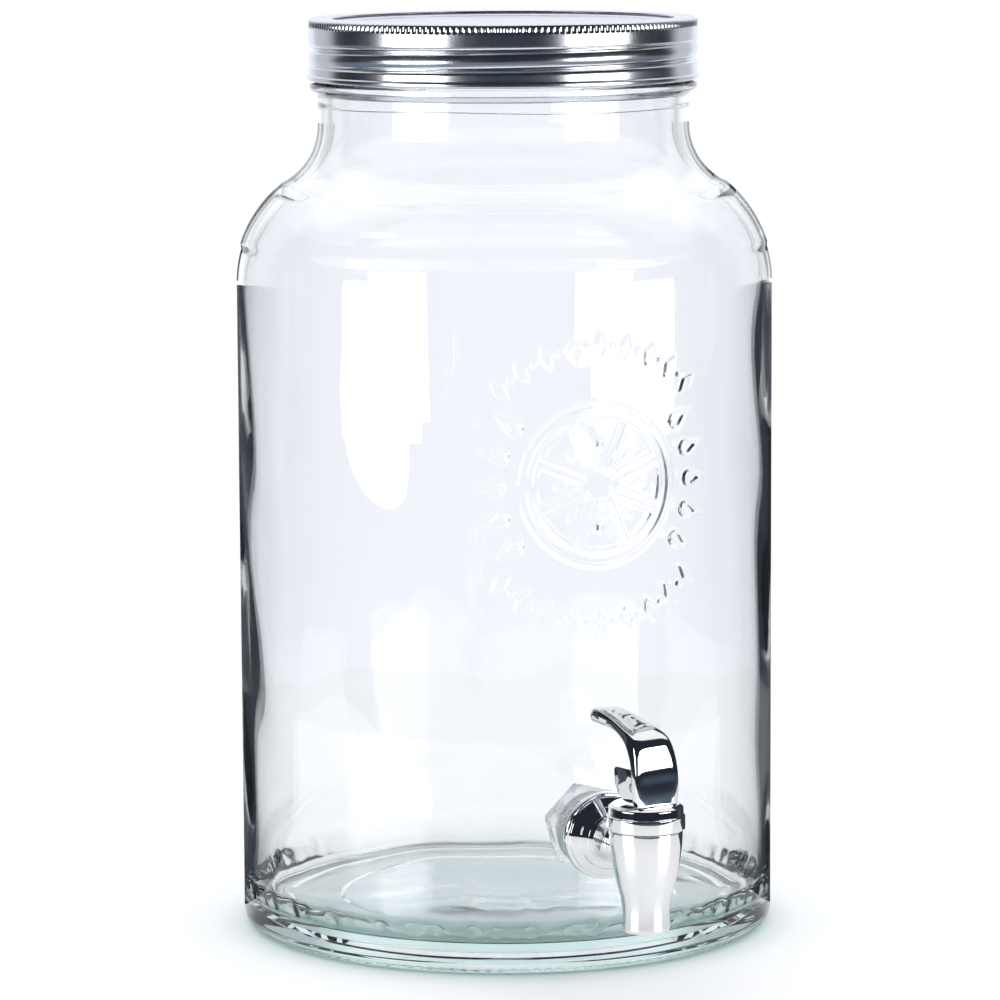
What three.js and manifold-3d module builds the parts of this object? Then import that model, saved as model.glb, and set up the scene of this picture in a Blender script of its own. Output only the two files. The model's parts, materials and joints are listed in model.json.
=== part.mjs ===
// Glass drink dispenser: a wide jar with a two-piece screw lid and a lift-lever tap.
// Millimetres, +Z up, and the tap faces -Y. Heights in this file are measured from the table.
// The last step moves the origin up to the centre of the flat panel under the jar.
import * as THREE from 'three';
import { mergeVertices } from 'three/addons/utils/BufferGeometryUtils.js';
import Module from 'manifold-3d';

const wasm = await Module();
wasm.setup();

// ---- Jar ----
const BODY_R = 90; // outside radius of the straight wall
const WALL = 4.5; // glass thickness
const HEEL_R = 5; // rounding between wall and base
const STAND_R = 76; // inner edge of the flat ring the jar stands on
const PANEL_Z = 2.5; // flat panel under the base, inside the ring
const SHOULDER_Z = 218; // where the straight wall ends
const SHOULDER_R = 43.2; // outer, convex shoulder arc
const NECK_ARC_R = 21.2; // concave arc that leads into the neck
const NECK_R = 62.2;
const NECK_ARC_Z = 271;
const BEAD_Z = 284; // ring of glass below the thread
const BEAD_R = 64.8;
const FINISH_R = 61.2; // wall that carries the thread
const RIM_Z = 303.6; // top of the glass

// ---- Screw thread, shared by the glass and the band ----
const PITCH = 6;
const THREAD_LOW_Z = 288;
const THREAD_HIGH_Z = 302;
const THREAD_PHASE_Z = 293.5; // height of the band's groove on the +X side
const GLASS_RIDGE = 2.3;
const BAND_GROOVE = 1.5;

// ---- Lid ----
const BAND_R = 65;
const SHEET = 0.6; // sheet thickness of the band
const BAND_LOW_Z = 286;
const BAND_TOP_Z = 306.5;
const BAND_OPENING_R = 57; // inner edge of the band's top lip
const DISC_R = 63.4;
const DISC_LOW_Z = 304.65;
const DISC_THICK = 0.75;

// ---- Tap ----
const TAP_Y = -130; // axis of the barrel
const SHANK_Z = 46.5; // height of the shank's axis
const HOLE_R = 8; // hole through the glass
const TAIL_R = 7.5;
const SHANK_BORE_R = 4.5;
const SPOUT_Z = 22.8;
const BARREL_TOP_Z = 55.6;
const SEAT_Z = 41;
const CHAMBER_R = 8.5;
const BONNET_R = 12.5;
const WASHER_R = 12.6;
const BONNET_TOP_Z = 64;
const NUT_ACROSS_FLATS = 25.4;
const NUT_TURN = THREE.MathUtils.degToRad(15); // from having a corner level with the axis
const GAP = 0.3; // between a piece and the neighbour it is shaped to

// ---- Lever ----
const LEVER_SWING = 17; // degrees the lever is swung round from pointing at the jar
const PIN_Z = 69.5;
const PIN_R = 1.25;
const CAM_REST = PIN_Z - BONNET_TOP_Z - GAP; // pin height above the heel's resting face
const CAM_RISE = 2.8; // mm the stem rises per radian of tilt
const CAM_TURN = THREE.MathUtils.degToRad(75); // how far the cam face runs round the heel
const TILT_MAX = THREE.MathUtils.degToRad(45);
const HEEL_WIDTH = 11;

const GLASS = { color: 0xdfe8f2, roughness: 0.04, metalness: 0 };
const TINPLATE = { color: 0xc9c9c8, roughness: 0.28, metalness: 1 };
const CHROME = { color: 0xd9dcde, roughness: 0.06, metalness: 1 };
const STEEL = { color: 0xb4b6b8, roughness: 0.3, metalness: 1 };
const SILICONE = { color: 0xe4e8e6, roughness: 0.45, metalness: 0 };
const NUT_PLASTIC = { color: 0xb9bdc0, roughness: 0.5, metalness: 0 };

// ---- Helpers ----

// Shares the vertices of a geometry and drops the faces that collapse on the axis.
function weld(geometry) {
  geometry.deleteAttribute('normal');
  geometry.deleteAttribute('uv');
  const merged = mergeVertices(geometry, 1e-4);
  const index = merged.index.array;
  const kept = [];
  for (let i = 0; i < index.length; i += 3) {
    const [a, b, c] = [index[i], index[i + 1], index[i + 2]];
    if (a !== b && b !== c && c !== a) kept.push(a, b, c);
  }
  merged.setIndex(kept);
  return merged;
}

function toSolid(geometry) {
  const merged = weld(geometry);
  return new wasm.Manifold(new wasm.Mesh({
    numProp: 3,
    vertProperties: new Float32Array(merged.attributes.position.array),
    triVerts: new Uint32Array(merged.index.array),
  }));
}

function toGeometry(solid) {
  const mesh = solid.getMesh();
  const geometry = new THREE.BufferGeometry();
  geometry.setAttribute('position', new THREE.BufferAttribute(mesh.vertProperties, 3));
  geometry.setIndex(new THREE.BufferAttribute(mesh.triVerts, 1));
  return geometry;
}

// Points along an arc about (r, z), angles in degrees measured from +r towards +z.
function arc(r, z, radius, from, to, steps) {
  const points = [];
  for (let i = 0; i <= steps; i += 1) {
    const angle = THREE.MathUtils.degToRad(from + ((to - from) * i) / steps);
    points.push([r + radius * Math.cos(angle), z + radius * Math.sin(angle)]);
  }
  return points;
}

// Turns a closed [r, z] outline, listed counter-clockwise with r to the right, about +Z.
function turned(outline, segments) {
  const points = [...outline, outline[0]].map(([r, z]) => new THREE.Vector2(r, z));
  return new THREE.LatheGeometry(points, segments).rotateX(Math.PI / 2);
}

// The same, about an axis along +Y at the shank's height, with the outline as [r, y].
function turnedAlongY(outline, segments) {
  return turned(outline, segments).rotateX(-Math.PI / 2).translate(0, 0, SHANK_Z);
}

// A round bar along Y, centred on the given point of the YZ plane.
function bar(radius, length, y, z, segments) {
  return new THREE.CylinderGeometry(radius, radius, length, segments).translate(0, y, z);
}

// A flat outline given as [x, y] pairs, pulled along +Z and centred on z = 0.
function slab(outline, thickness) {
  const shape = new THREE.Shape(outline.map(([x, y]) => new THREE.Vector2(x, y)));
  const options = { depth: thickness, bevelEnabled: false };
  return new THREE.ExtrudeGeometry(shape, options).translate(0, 0, -thickness / 2);
}

// Rounded bump of height 1 and half-width `half`, counted in turns of the thread.
function bump(turns, half) {
  const offset = Math.abs(turns - Math.round(turns));
  return offset < half ? Math.cos((Math.PI / 2) * (offset / half)) ** 2 : 0;
}

// Fades the thread in and out over its first and last 1.5 mm.
function threadFade(z) {
  const fade = Math.min(z - THREAD_LOW_Z, THREAD_HIGH_Z - z) / 1.5;
  return THREE.MathUtils.clamp(fade, 0, 1);
}

// Moves the threaded part of a turned surface out or in along the helix.
function formThread(geometry, radialShift) {
  const position = geometry.attributes.position;
  for (let i = 0; i < position.count; i += 1) {
    const x = position.getX(i);
    const y = position.getY(i);
    const z = position.getZ(i);
    const r = Math.hypot(x, y);
    if (r < FINISH_R - 1 || r > BAND_R + 0.1) continue;
    const turns = (z - THREAD_PHASE_Z) / PITCH - Math.atan2(y, x) / (2 * Math.PI);
    const scale = (r + radialShift(turns) * threadFade(z)) / r;
    position.setXY(i, x * scale, y * scale);
  }
  return geometry;
}

// A wall of points at radius r, from one height to another, close enough to carry the thread.
function threadRows(r, from, to, rows) {
  return Array.from({ length: rows }, (_, i) => [r, from + ((to - from) * i) / (rows - 1)]);
}

// ---- Jar ----

function glassJar() {
  const neckCentre = NECK_R + NECK_ARC_R;
  const shoulderCentre = BODY_R - SHOULDER_R;
  const rise = NECK_ARC_Z - SHOULDER_Z;
  const join = THREE.MathUtils.radToDeg(Math.atan2(rise, neckCentre - shoulderCentre));
  const outline = [
    [0, PANEL_Z], [56, PANEL_Z], [58, 1.2], [STAND_R - 2, 1.2], [STAND_R, 0],
    ...arc(BODY_R - HEEL_R, HEEL_R, HEEL_R, -90, 0, 3),
    ...arc(shoulderCentre, SHOULDER_Z, SHOULDER_R, 0, join, 6),
    ...arc(neckCentre, NECK_ARC_Z, NECK_ARC_R, 180 + join, 180, 4).slice(1),
    [NECK_R, BEAD_Z - 3], [BEAD_R, BEAD_Z - 1], [BEAD_R, BEAD_Z + 0.9], [FINISH_R, BEAD_Z + 1.6],
    ...threadRows(FINISH_R, THREAD_LOW_Z, THREAD_HIGH_Z, 13),
    [FINISH_R - 0.4, RIM_Z - 0.4], [FINISH_R - 1.2, RIM_Z],
    [NECK_R - WALL + 1, RIM_Z], [NECK_R - WALL, RIM_Z - 1],
    ...arc(neckCentre, NECK_ARC_Z, NECK_ARC_R + WALL, 180, 180 + join, 4),
    ...arc(shoulderCentre, SHOULDER_Z, SHOULDER_R - WALL, join, 0, 6).slice(1),
    ...arc(BODY_R - WALL - 8, 17, 8, 0, -90, 3),
    [57, 9], [0, 11],
  ];
  const jar = toSolid(formThread(turned(outline, 48), (turns) => (
    GLASS_RIDGE * bump(turns + 0.5, 0.22)
  )));
  return toGeometry(jar.subtract(toSolid(bar(HOLE_R, 30, -BODY_R, SHANK_Z, 24))));
}

// ---- Lid ----

function screwBand() {
  const inner = BAND_R - SHEET;
  const outline = [
    [inner, BAND_LOW_Z], [BAND_R + 0.2, BAND_LOW_Z], [BAND_R + 0.6, BAND_LOW_Z + 0.5],
    [BAND_R + 0.6, BAND_LOW_Z + 1], [BAND_R, BAND_LOW_Z + 1.6],
    ...threadRows(BAND_R, THREAD_LOW_Z + 0.6, THREAD_HIGH_Z, 12),
    ...arc(BAND_R - 1.8, BAND_TOP_Z - 1.8, 1.8, 0, 90, 3),
    [BAND_OPENING_R + 0.5, BAND_TOP_Z], [BAND_OPENING_R, BAND_TOP_Z - 0.4],
    [BAND_OPENING_R + 0.5, BAND_TOP_Z - 0.8],
    [inner - 1, BAND_TOP_Z - 0.8], [inner, BAND_TOP_Z - 1.8],
    ...threadRows(inner, THREAD_HIGH_Z, THREAD_LOW_Z + 0.6, 12),
  ];
  return weld(formThread(turned(outline, 48), (turns) => -BAND_GROOVE * bump(turns, 0.4)));
}

function lidDisc() {
  const top = DISC_LOW_Z + DISC_THICK;
  const outline = [
    [0, DISC_LOW_Z], [DISC_R, DISC_LOW_Z], [DISC_R, top],
    [54, top], [53, top - 0.3], [0, top - 0.3],
  ];
  return weld(turned(outline, 48));
}

function lidSeal() {
  const outline = [
    [58, RIM_Z + 0.05], [61.4, RIM_Z + 0.05], [61.4, DISC_LOW_Z - 0.05], [58, DISC_LOW_Z - 0.05],
  ];
  return weld(turned(outline, 48));
}

// ---- Tap ----

function tapBody() {
  const barrel = turned([
    [0, SPOUT_Z], [6.9, SPOUT_Z], [7.5, SPOUT_Z + 0.7], [7.6, SPOUT_Z + 3], [7.6, 30], [8.1, 33.9],
    [9.2, 37.8], [10.2, 42], [10.9, 46], [11.5, 50.5], [11.7, BARREL_TOP_Z], [0, BARREL_TOP_Z],
  ], 28);
  const shank = turnedAlongY([
    [0, 2], [6.7, 2], [6.7, 22], [7, 25], [7.8, 28.6], [8, 30], [10.2, 31.4], [12.8, 33.2],
    [13.2, 34.1], [14.3, 34.6], [14.3, 36.8], [TAIL_R, 36.8], [TAIL_R, 62], [0, 62],
  ], 28);
  const chamber = turned([
    [0, SPOUT_Z - 1], [5.8, SPOUT_Z - 1], [5.8, 37.5], [4.5, 38.5], [4.5, SEAT_Z],
    [CHAMBER_R, SEAT_Z], [CHAMBER_R, BARREL_TOP_Z + 1], [0, BARREL_TOP_Z + 1],
  ], 28);
  const shankBore = turnedAlongY([[0, 1], [SHANK_BORE_R, 1], [SHANK_BORE_R, 63], [0, 63]], 28);
  return toGeometry(toSolid(barrel).add(toSolid(shank))
    .subtract(toSolid(chamber))
    .subtract(toSolid(shankBore)));
}

// A flat ring on the shank whose far side follows the jar's wall.
function tapWasher(nearY, farY, jarRadius, outside) {
  const ring = toSolid(turnedAlongY([
    [HOLE_R + 0.2, nearY], [WASHER_R, nearY], [WASHER_R, farY], [HOLE_R + 0.2, farY],
  ], 28)).translate(0, TAP_Y, 0);
  const wall = toSolid(
    new THREE.CylinderGeometry(jarRadius, jarRadius, 60, 96).rotateX(Math.PI / 2)
      .translate(0, 0, SHANK_Z),
  );
  const shaped = outside ? ring.subtract(wall) : ring.intersect(wall);
  return toGeometry(shaped.translate(0, -TAP_Y, 0));
}

function lockNut() {
  const nearY = 48.8;
  const thickness = 7.5;
  const cornerR = NUT_ACROSS_FLATS / 2 / Math.cos(Math.PI / 6);
  const hexagon = turnedAlongY(
    [[0, nearY], [cornerR, nearY], [cornerR, nearY + thickness], [0, nearY + thickness]],
    6,
  ).translate(0, 0, -SHANK_Z).rotateY(Math.PI / 2 + NUT_TURN).translate(0, 0, SHANK_Z);
  const bore = turnedAlongY([[0, 40], [TAIL_R + 0.3, 40], [TAIL_R + 0.3, 70], [0, 70]], 24);
  return toGeometry(toSolid(hexagon).subtract(toSolid(bore)));
}

function bonnet() {
  const plug = CHAMBER_R - GAP;
  const low = BARREL_TOP_Z + GAP;
  return weld(turned([
    [6.3, 52.2], [plug, 52.2], [plug, low], [BONNET_R, low], [BONNET_R, 60.2],
    [BONNET_R - 0.5, 60.5], [BONNET_R - 0.5, BONNET_TOP_Z - 1.4], [BONNET_R - 1.7, BONNET_TOP_Z],
    [3.2, BONNET_TOP_Z], [3.2, 61], [6.3, 61],
  ], 28));
}

// Soft cup: a plug on the valve seat, with a thin wall up to a flange held by the bonnet.
function seatCup() {
  return weld(turned([
    [0, SEAT_Z + 0.05], [6.1, SEAT_Z + 0.05], [6.3, 43], [6.5, 47], [6.9, 50.4], [8.2, 50.8],
    [8.2, 52.1], [5.9, 52.1], [5.6, 47], [5, 44.4], [0, 44.4],
  ], 24));
}

// Coil spring between the stem's collar and the underside of the bonnet.
function returnSpring() {
  const coilR = 4.6;
  const wireR = 0.45;
  const low = 47.2;
  const high = 60.3;
  const turns = 5;
  class Helix extends THREE.Curve {
    getPoint(t, target = new THREE.Vector3()) {
      const angle = 2 * Math.PI * turns * t;
      return target.set(coilR * Math.cos(angle), coilR * Math.sin(angle), low + (high - low) * t);
    }
  }
  const wire = Array.from({ length: 5 }, (_, i) => {
    const angle = (2 * Math.PI * i) / 5;
    return new THREE.Vector2(wireR * Math.cos(angle), wireR * Math.sin(angle));
  });
  return weld(new THREE.ExtrudeGeometry(new THREE.Shape(wire), {
    steps: turns * 12, bevelEnabled: false, extrudePath: new Helix(),
  }));
}

function stem() {
  const rod = toSolid(turned([
    [0, 44.5], [4, 44.5], [4.2, 46.6], [2.5, 46.6], [2.5, PIN_Z], [0, PIN_Z],
  ], 20));
  const eye = toSolid(bar(2.9, 5, 0, PIN_Z, 20));
  return toGeometry(rod.add(eye).subtract(toSolid(bar(PIN_R + GAP, 8, 0, PIN_Z, 16))));
}

function leverPin() {
  return weld(bar(PIN_R, HEEL_WIDTH + 0.2, 0, PIN_Z, 16));
}

// ---- Lever: x runs towards the fingertip, y along the pin ----

// Underside of the heel: an involute, so the stem rises evenly as the lever tilts on it.
function camPoints(steps) {
  return Array.from({ length: steps + 1 }, (_, i) => {
    const tilt = (CAM_TURN * i) / steps;
    const reach = CAM_REST + CAM_RISE * tilt;
    return [
      reach * Math.sin(tilt) + CAM_RISE * Math.cos(tilt),
      PIN_Z - reach * Math.cos(tilt) + CAM_RISE * Math.sin(tilt),
    ];
  });
}

function lever() {
  const base = PIN_Z - CAM_REST;
  const points = (list) => list.map(([x, z]) => new THREE.Vector2(x, z));
  // Side view of the shield and finger, in [x, z]: up the front, round the tip and back down.
  const outline = new THREE.Path().moveTo(-2.8, base).lineTo(-6.5, base).lineTo(-6.6, 71);
  outline.splineThru(points([[-6, 76], [-4.7, 80.6], [-2.2, 84.4], [2, 86.6], [7, 88.6]]));
  outline.splineThru(points([[12, 90.3], [18, 91.7], [21.6, 92.1]]));
  outline.absarc(21.6, 89.3, 2.8, Math.PI / 2, -Math.PI / 2, true);
  outline.splineThru(points([[17, 86.4], [9, 86.2], [5, 85], [1.8, 83.1], [-0.8, 80.4], [-2.9, 71]]));
  const side = outline.getPoints(2).map(({ x, y }) => [x, y]);
  // View from the front, as half-widths by height.
  const halves = [[7.9, base], [8.5, 68], [8.6, 74], [8.2, 79], [7.5, 83], [6.2, 88.5], [5.5, 97]];
  const front = [...halves, ...halves.map(([w, z]) => [-w, z]).reverse()];
  // View from above, as half-widths by reach: rounded front edges, a taper and a rounded tip.
  const reach = [[-7, 6.8], [-5.6, 8.6], [2, 8.6], [7, 6.3], [12, 5.5], [20, 5.3]];
  const tip = arc(19.1, 0, 5.3, 60, -60, 6);
  const above = [...reach, ...tip, ...reach.map(([x, w]) => [x, -w]).reverse()];
  const heelSide = [...camPoints(8), [9.6, 74.2], [8.8, 75.2], [-4, 75.2], [-4, base]];
  // Slot for the stem, open over the lever's whole tilt.
  const end = THREE.MathUtils.radToDeg(TILT_MAX);
  const slotSide = [
    [-3.4, base - 1], ...arc(0, PIN_Z, 3.4, 180, end, 6),
    [2.4 + 7, PIN_Z + 2.4 - 7], [2.4 + 7, base - 1],
  ];
  const upright = (geometry) => toSolid(geometry.rotateX(Math.PI / 2));
  const shield = upright(slab(side, 18))
    .intersect(toSolid(slab(front, 70).rotateX(Math.PI / 2).rotateZ(Math.PI / 2)))
    .intersect(toSolid(slab(above, 200)));
  return toGeometry(shield.add(upright(slab(heelSide, HEEL_WIDTH)))
    .subtract(upright(slab(slotSide, 5.8)))
    .subtract(toSolid(bar(PIN_R + GAP, 30, 0, PIN_Z, 16))));
}

// ---- Assembly ----

function piece(name, geometry, look, parent) {
  const mesh = new THREE.Mesh(geometry, new THREE.MeshStandardMaterial(look));
  mesh.name = name;
  parent.add(mesh);
  return mesh;
}

const dispenser = new THREE.Group();

const glass = piece('glass_jar', glassJar(), GLASS, dispenser);
glass.material.transparent = true;
glass.material.opacity = 0.35;

const lid = new THREE.Group();
piece('screw_band', screwBand(), TINPLATE, lid);
piece('lid_disc', lidDisc(), TINPLATE, lid);
piece('lid_seal', lidSeal(), SILICONE, lid);
dispenser.add(lid);

const tap = new THREE.Group();
tap.position.y = TAP_Y;
piece('tap_body', tapBody(), CHROME, tap);
piece('outer_washer', tapWasher(37.1, 44, BODY_R + GAP, true), SILICONE, tap);
piece('inner_washer', tapWasher(42, 48.5, BODY_R - WALL - GAP, false), SILICONE, tap);
piece('lock_nut', lockNut(), NUT_PLASTIC, tap);
piece('bonnet', bonnet(), CHROME, tap);
piece('seat_cup', seatCup(), SILICONE, tap);
piece('return_spring', returnSpring(), STEEL, tap);
dispenser.add(tap);

const handle = new THREE.Group();
handle.rotation.z = THREE.MathUtils.degToRad(90 + LEVER_SWING);
piece('stem', stem(), STEEL, handle);
piece('lever_pin', leverPin(), STEEL, handle);
piece('lever', lever(), CHROME, handle);
tap.add(handle);

dispenser.position.z = -PANEL_Z;

export default dispenser;
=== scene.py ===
"""Looks of the glass drink dispenser: fine meshes, materials, a pale floor and a soft studio.

Outlines are in millimetres above the table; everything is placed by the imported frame.
"""

import json
import math
import bpy
import numpy as np
from mathutils import Matrix, Vector


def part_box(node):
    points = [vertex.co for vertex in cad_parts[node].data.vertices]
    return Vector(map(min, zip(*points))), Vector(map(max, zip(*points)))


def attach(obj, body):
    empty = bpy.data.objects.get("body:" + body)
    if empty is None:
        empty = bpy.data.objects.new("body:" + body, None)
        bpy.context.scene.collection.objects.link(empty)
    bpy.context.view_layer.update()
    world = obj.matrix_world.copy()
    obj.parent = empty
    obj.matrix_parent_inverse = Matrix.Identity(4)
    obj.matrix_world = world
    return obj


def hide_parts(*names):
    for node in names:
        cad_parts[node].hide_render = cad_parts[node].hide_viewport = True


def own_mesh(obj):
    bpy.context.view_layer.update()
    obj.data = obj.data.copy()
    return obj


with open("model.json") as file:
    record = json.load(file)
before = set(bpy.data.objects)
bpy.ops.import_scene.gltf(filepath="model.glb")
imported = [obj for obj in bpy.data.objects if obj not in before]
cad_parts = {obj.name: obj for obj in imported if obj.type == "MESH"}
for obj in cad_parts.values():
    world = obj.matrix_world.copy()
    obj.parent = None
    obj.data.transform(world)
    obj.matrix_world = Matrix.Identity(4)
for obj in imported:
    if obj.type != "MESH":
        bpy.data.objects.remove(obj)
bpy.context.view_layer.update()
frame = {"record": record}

MM = 0.001

# ---- Places and sizes read from the frame ----
BEHAVIOUR = frame["record"]["behaviour"]
JOINTS = {joint["name"]: joint for joint in BEHAVIOUR["joints"]}
RATIOS = {c["joint"]: c["ratio"] for c in BEHAVIOUR["couplings"]}


def node_box(node):
    """(low, high) corners of a CAD node as millimetres above the table."""
    low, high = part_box(node)
    lift = Vector((0, 0, TABLE_Z))
    return (low - lift) / MM, (high - lift) / MM


TABLE_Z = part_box("glass_jar")[0].z
JAR_HIGH = node_box("glass_jar")[1]
BAND_LOW, BAND_HIGH = node_box("screw_band")
DISC_LOW, DISC_HIGH = node_box("lid_disc")
SEAL_LOW, SEAL_HIGH = node_box("lid_seal")
TAP_LOW = node_box("tap_body")[0]
BONNET_LOW, BONNET_HIGH = node_box("bonnet")
WASHER_LOW, WASHER_HIGH = node_box("outer_washer")
SOFT_HIGH = node_box("inner_washer")[1]
NUT_LOW, NUT_HIGH = node_box("lock_nut")
CUP_LOW, CUP_HIGH = node_box("seat_cup")
SPRING_LOW, SPRING_HIGH = node_box("return_spring")
STEM_LOW = node_box("stem")[0]

BODY_R = JAR_HIGH.x
RIM_Z = JAR_HIGH.z
TAP_Y = JOINTS["lever_swivel"]["pos_m"][1] / MM
PIN_Z = (JOINTS["lever_tilt"]["pos_m"][2] - TABLE_Z) / MM
SHANK_Z = (WASHER_LOW.z + WASHER_HIGH.z) / 2
PITCH = RATIOS["lid_lift"] * 2 * math.pi / MM  # of the lid's thread
LIFT = JOINTS["stem_lift"]["range_m"][1] / MM
CAM_RISE = 1 / (RATIOS["lever_tilt"] * MM)  # of the stem, per radian of tilt
TILT_MAX = LIFT / CAM_RISE
BONNET_TOP_Z = BONNET_HIGH.z

# ---- Sizes of the shapes, in millimetres ----
WALL = 4.5
NECK_R = 62.2
FINISH_R = 61.2
BEAD_R = 64.8
SHOULDER_Z = 218
SHOULDER_R = 43.2
NECK_ARC_R = 21.2
NECK_ARC_Z = 271
PANEL_EDGE_R = 57
THREAD_LOW_Z = 288
THREAD_HIGH_Z = 302
THREAD_PHASE_Z = 293.5
THREAD_DEPTH = 2.3
ROLLED_LOW_Z = 290.2
ROLLED_HIGH_Z = 299.2
RELIEF_Z = 160
RELIEF_REACH = 52
RELIEF_HEIGHT = 0.85
RELIEF_LOW_Z = RELIEF_Z - RELIEF_REACH - 4
HEEL_MARKS = 144
KNURL_TEETH = 200
KNURL_Z = 304.6
BAND_R = 65
SHEET = 0.6
HEEL_HALF = 5.5
SLOT_HALF = 2.9
NUT_TURN = math.radians(15)  # from having a corner level with the axis


# ---- Outlines ----


def arc(r, z, radius, start, end, steps):
    """Points on an arc about (r, z); angles in degrees from +r towards +z."""
    angles = np.radians(np.linspace(start, end, steps + 1))
    return [(r + radius * math.cos(a), z + radius * math.sin(a)) for a in angles]


def rows_between(start, end, spacing):
    """Evenly spaced points from start to end, both included."""
    start, end = np.array(start, float), np.array(end, float)
    count = max(1, round(np.linalg.norm(end - start) / spacing))
    return [tuple(start + (end - start) * i / count) for i in range(count + 1)]


def rounded(corners, steps=5, closed=True):
    """An outline through (r, z, radius) corners, each rounded by its radius."""
    points = []
    count = len(corners)
    for i, (r, z, radius) in enumerate(corners):
        at_end = not closed and i in (0, count - 1)
        if radius == 0 or at_end:
            points.append((r, z))
            continue
        here = np.array((r, z), float)
        before = np.array(corners[i - 1][:2], float) - here
        after = np.array(corners[(i + 1) % count][:2], float) - here
        before /= np.linalg.norm(before)
        after /= np.linalg.norm(after)
        half = math.acos(float(np.clip(before @ after, -1, 1))) / 2
        reach = radius / math.tan(half)
        middle = before + after
        centre = here + middle / np.linalg.norm(middle) * radius / math.sin(half)
        first = here + before * reach - centre
        last = here + after * reach - centre
        turn = math.atan2(first[0] * last[1] - first[1] * last[0], float(first @ last))
        for k in range(steps + 1):
            c = math.cos(turn * k / steps)
            s = math.sin(turn * k / steps)
            spoke = (c * first[0] - s * first[1], s * first[0] + c * first[1])
            points.append(tuple(centre + spoke))
    return points


def path(corners, steps=5):
    """The same for an open line, whose two ends aren't rounded."""
    return rounded(corners, steps, closed=False)


def smooth_rows(controls, per_span):
    """A smooth curve through rows of numbers (Catmull-Rom), keeping the ends."""
    c = np.array(controls, float)
    c = np.vstack([2 * c[0] - c[1], c, 2 * c[-1] - c[-2]])
    rows = []
    for i in range(1, len(c) - 2):
        for t in np.arange(per_span) / per_span:
            rows.append(
                0.5
                * (
                    2 * c[i]
                    + (c[i + 1] - c[i - 1]) * t
                    + (2 * c[i - 1] - 5 * c[i] + 4 * c[i + 1] - c[i + 2]) * t**2
                    + (3 * c[i] - 3 * c[i + 1] + c[i + 2] - c[i - 1]) * t**3
                )
            )
    rows.append(c[-2])
    return np.array(rows)


# ---- Meshes ----


def sheet_mesh(name, rows, closed):
    """An object from rows of points that each run once round; a one-point row is a pole."""
    count = max(len(row) for row in rows)
    starts = np.cumsum([0] + [len(row) for row in rows])
    index = [
        start + (np.arange(count) if len(row) > 1 else np.zeros(count, int))
        for start, row in zip(starts, rows)
    ]
    pairs = list(zip(index, index[1:]))
    if closed:
        pairs.append((index[-1], index[0]))
    faces = []
    for low, high in pairs:
        quads = np.stack([low, np.roll(low, -1), np.roll(high, -1), high], axis=1).tolist()
        if low[0] == low[1] or high[0] == high[1]:
            quads = [list(dict.fromkeys(quad)) for quad in quads]
        faces.extend(quads)
    points = np.vstack([np.asarray(row, float).reshape(-1, 3) for row in rows])
    mesh = bpy.data.meshes.new(name)
    mesh.from_pydata((points * MM + (0, 0, TABLE_Z)).tolist(), [], faces)
    piece = bpy.data.objects.new(name, mesh)
    bpy.context.scene.collection.objects.link(piece)
    return piece


def revolved(name, outline, columns=128, shape=None, angles=None):
    """Turns an outline of (r, z) about +Z. shape(r, z, angle) may move the points: it
    returns new r and z arrays. The outline runs anticlockwise, or from axis to axis."""
    if angles is None:
        angles = np.linspace(0, 2 * math.pi, columns, endpoint=False)
    rows = []
    for r, z in outline:
        if r < 1e-9:
            rows.append(np.array([[0, 0, z]]))
            continue
        ring_r, ring_z = np.full(len(angles), float(r)), np.full(len(angles), float(z))
        if shape is not None:
            ring_r, ring_z = shape(ring_r, ring_z, angles)
        rows.append(np.stack([ring_r * np.cos(angles), ring_r * np.sin(angles), ring_z], axis=1))
    closed = outline[0][0] > 1e-9
    return sheet_mesh(name, rows, closed)


def lay_along_y(piece):
    """Turns a revolved piece so that its axis is the shank's, with its z as y."""
    table = Matrix.Translation((0, 0, TABLE_Z))
    turn = Matrix.Rotation(-math.pi / 2, 4, "X")
    rise = Matrix.Translation((0, 0, SHANK_Z * MM))
    piece.data.transform(table @ rise @ turn @ table.inverted())
    return piece


def move(piece, x=0.0, y=0.0, z=0.0, turn=0.0):
    """Turns a piece's mesh about +Z, then moves it by millimetres."""
    piece.data.transform(
        Matrix.Translation((x * MM, y * MM, z * MM)) @ Matrix.Rotation(turn, 4, "Z")
    )
    return piece


def extruded(name, outline, half_width, bevel=0.0):
    """A plate with an (x, z) outline, from -half_width to half_width along y."""
    count = len(outline)
    points = [(x, y, z) for y in (-half_width, half_width) for x, z in outline]
    faces = [[i, (i + 1) % count, count + (i + 1) % count, count + i] for i in range(count)]
    faces.append(list(range(count))[::-1])
    faces.append(list(range(count, 2 * count)))
    mesh = bpy.data.meshes.new(name)
    mesh.from_pydata([(x * MM, y * MM, z * MM + TABLE_Z) for x, y, z in points], [], faces)
    piece = bpy.data.objects.new(name, mesh)
    bpy.context.scene.collection.objects.link(piece)
    fix_normals(piece)
    if bevel:
        rounding = piece.modifiers.new("rounding", "BEVEL")
        rounding.width = bevel * MM
        rounding.segments = 3
        rounding.limit_method = "ANGLE"
        rounding.angle_limit = math.radians(30)
        bake_modifiers(piece)
    return piece


def fix_normals(piece):
    """Turns the faces of a closed mesh outwards."""
    import bmesh

    work = bmesh.new()
    work.from_mesh(piece.data)
    bmesh.ops.recalc_face_normals(work, faces=work.faces)
    work.to_mesh(piece.data)
    work.free()


def bake_modifiers(piece):
    """Replaces a piece's mesh by its modified one."""
    graph = bpy.context.evaluated_depsgraph_get()
    graph.update()
    mesh = bpy.data.meshes.new_from_object(piece.evaluated_get(graph))
    piece.modifiers.clear()
    piece.data = mesh


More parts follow.
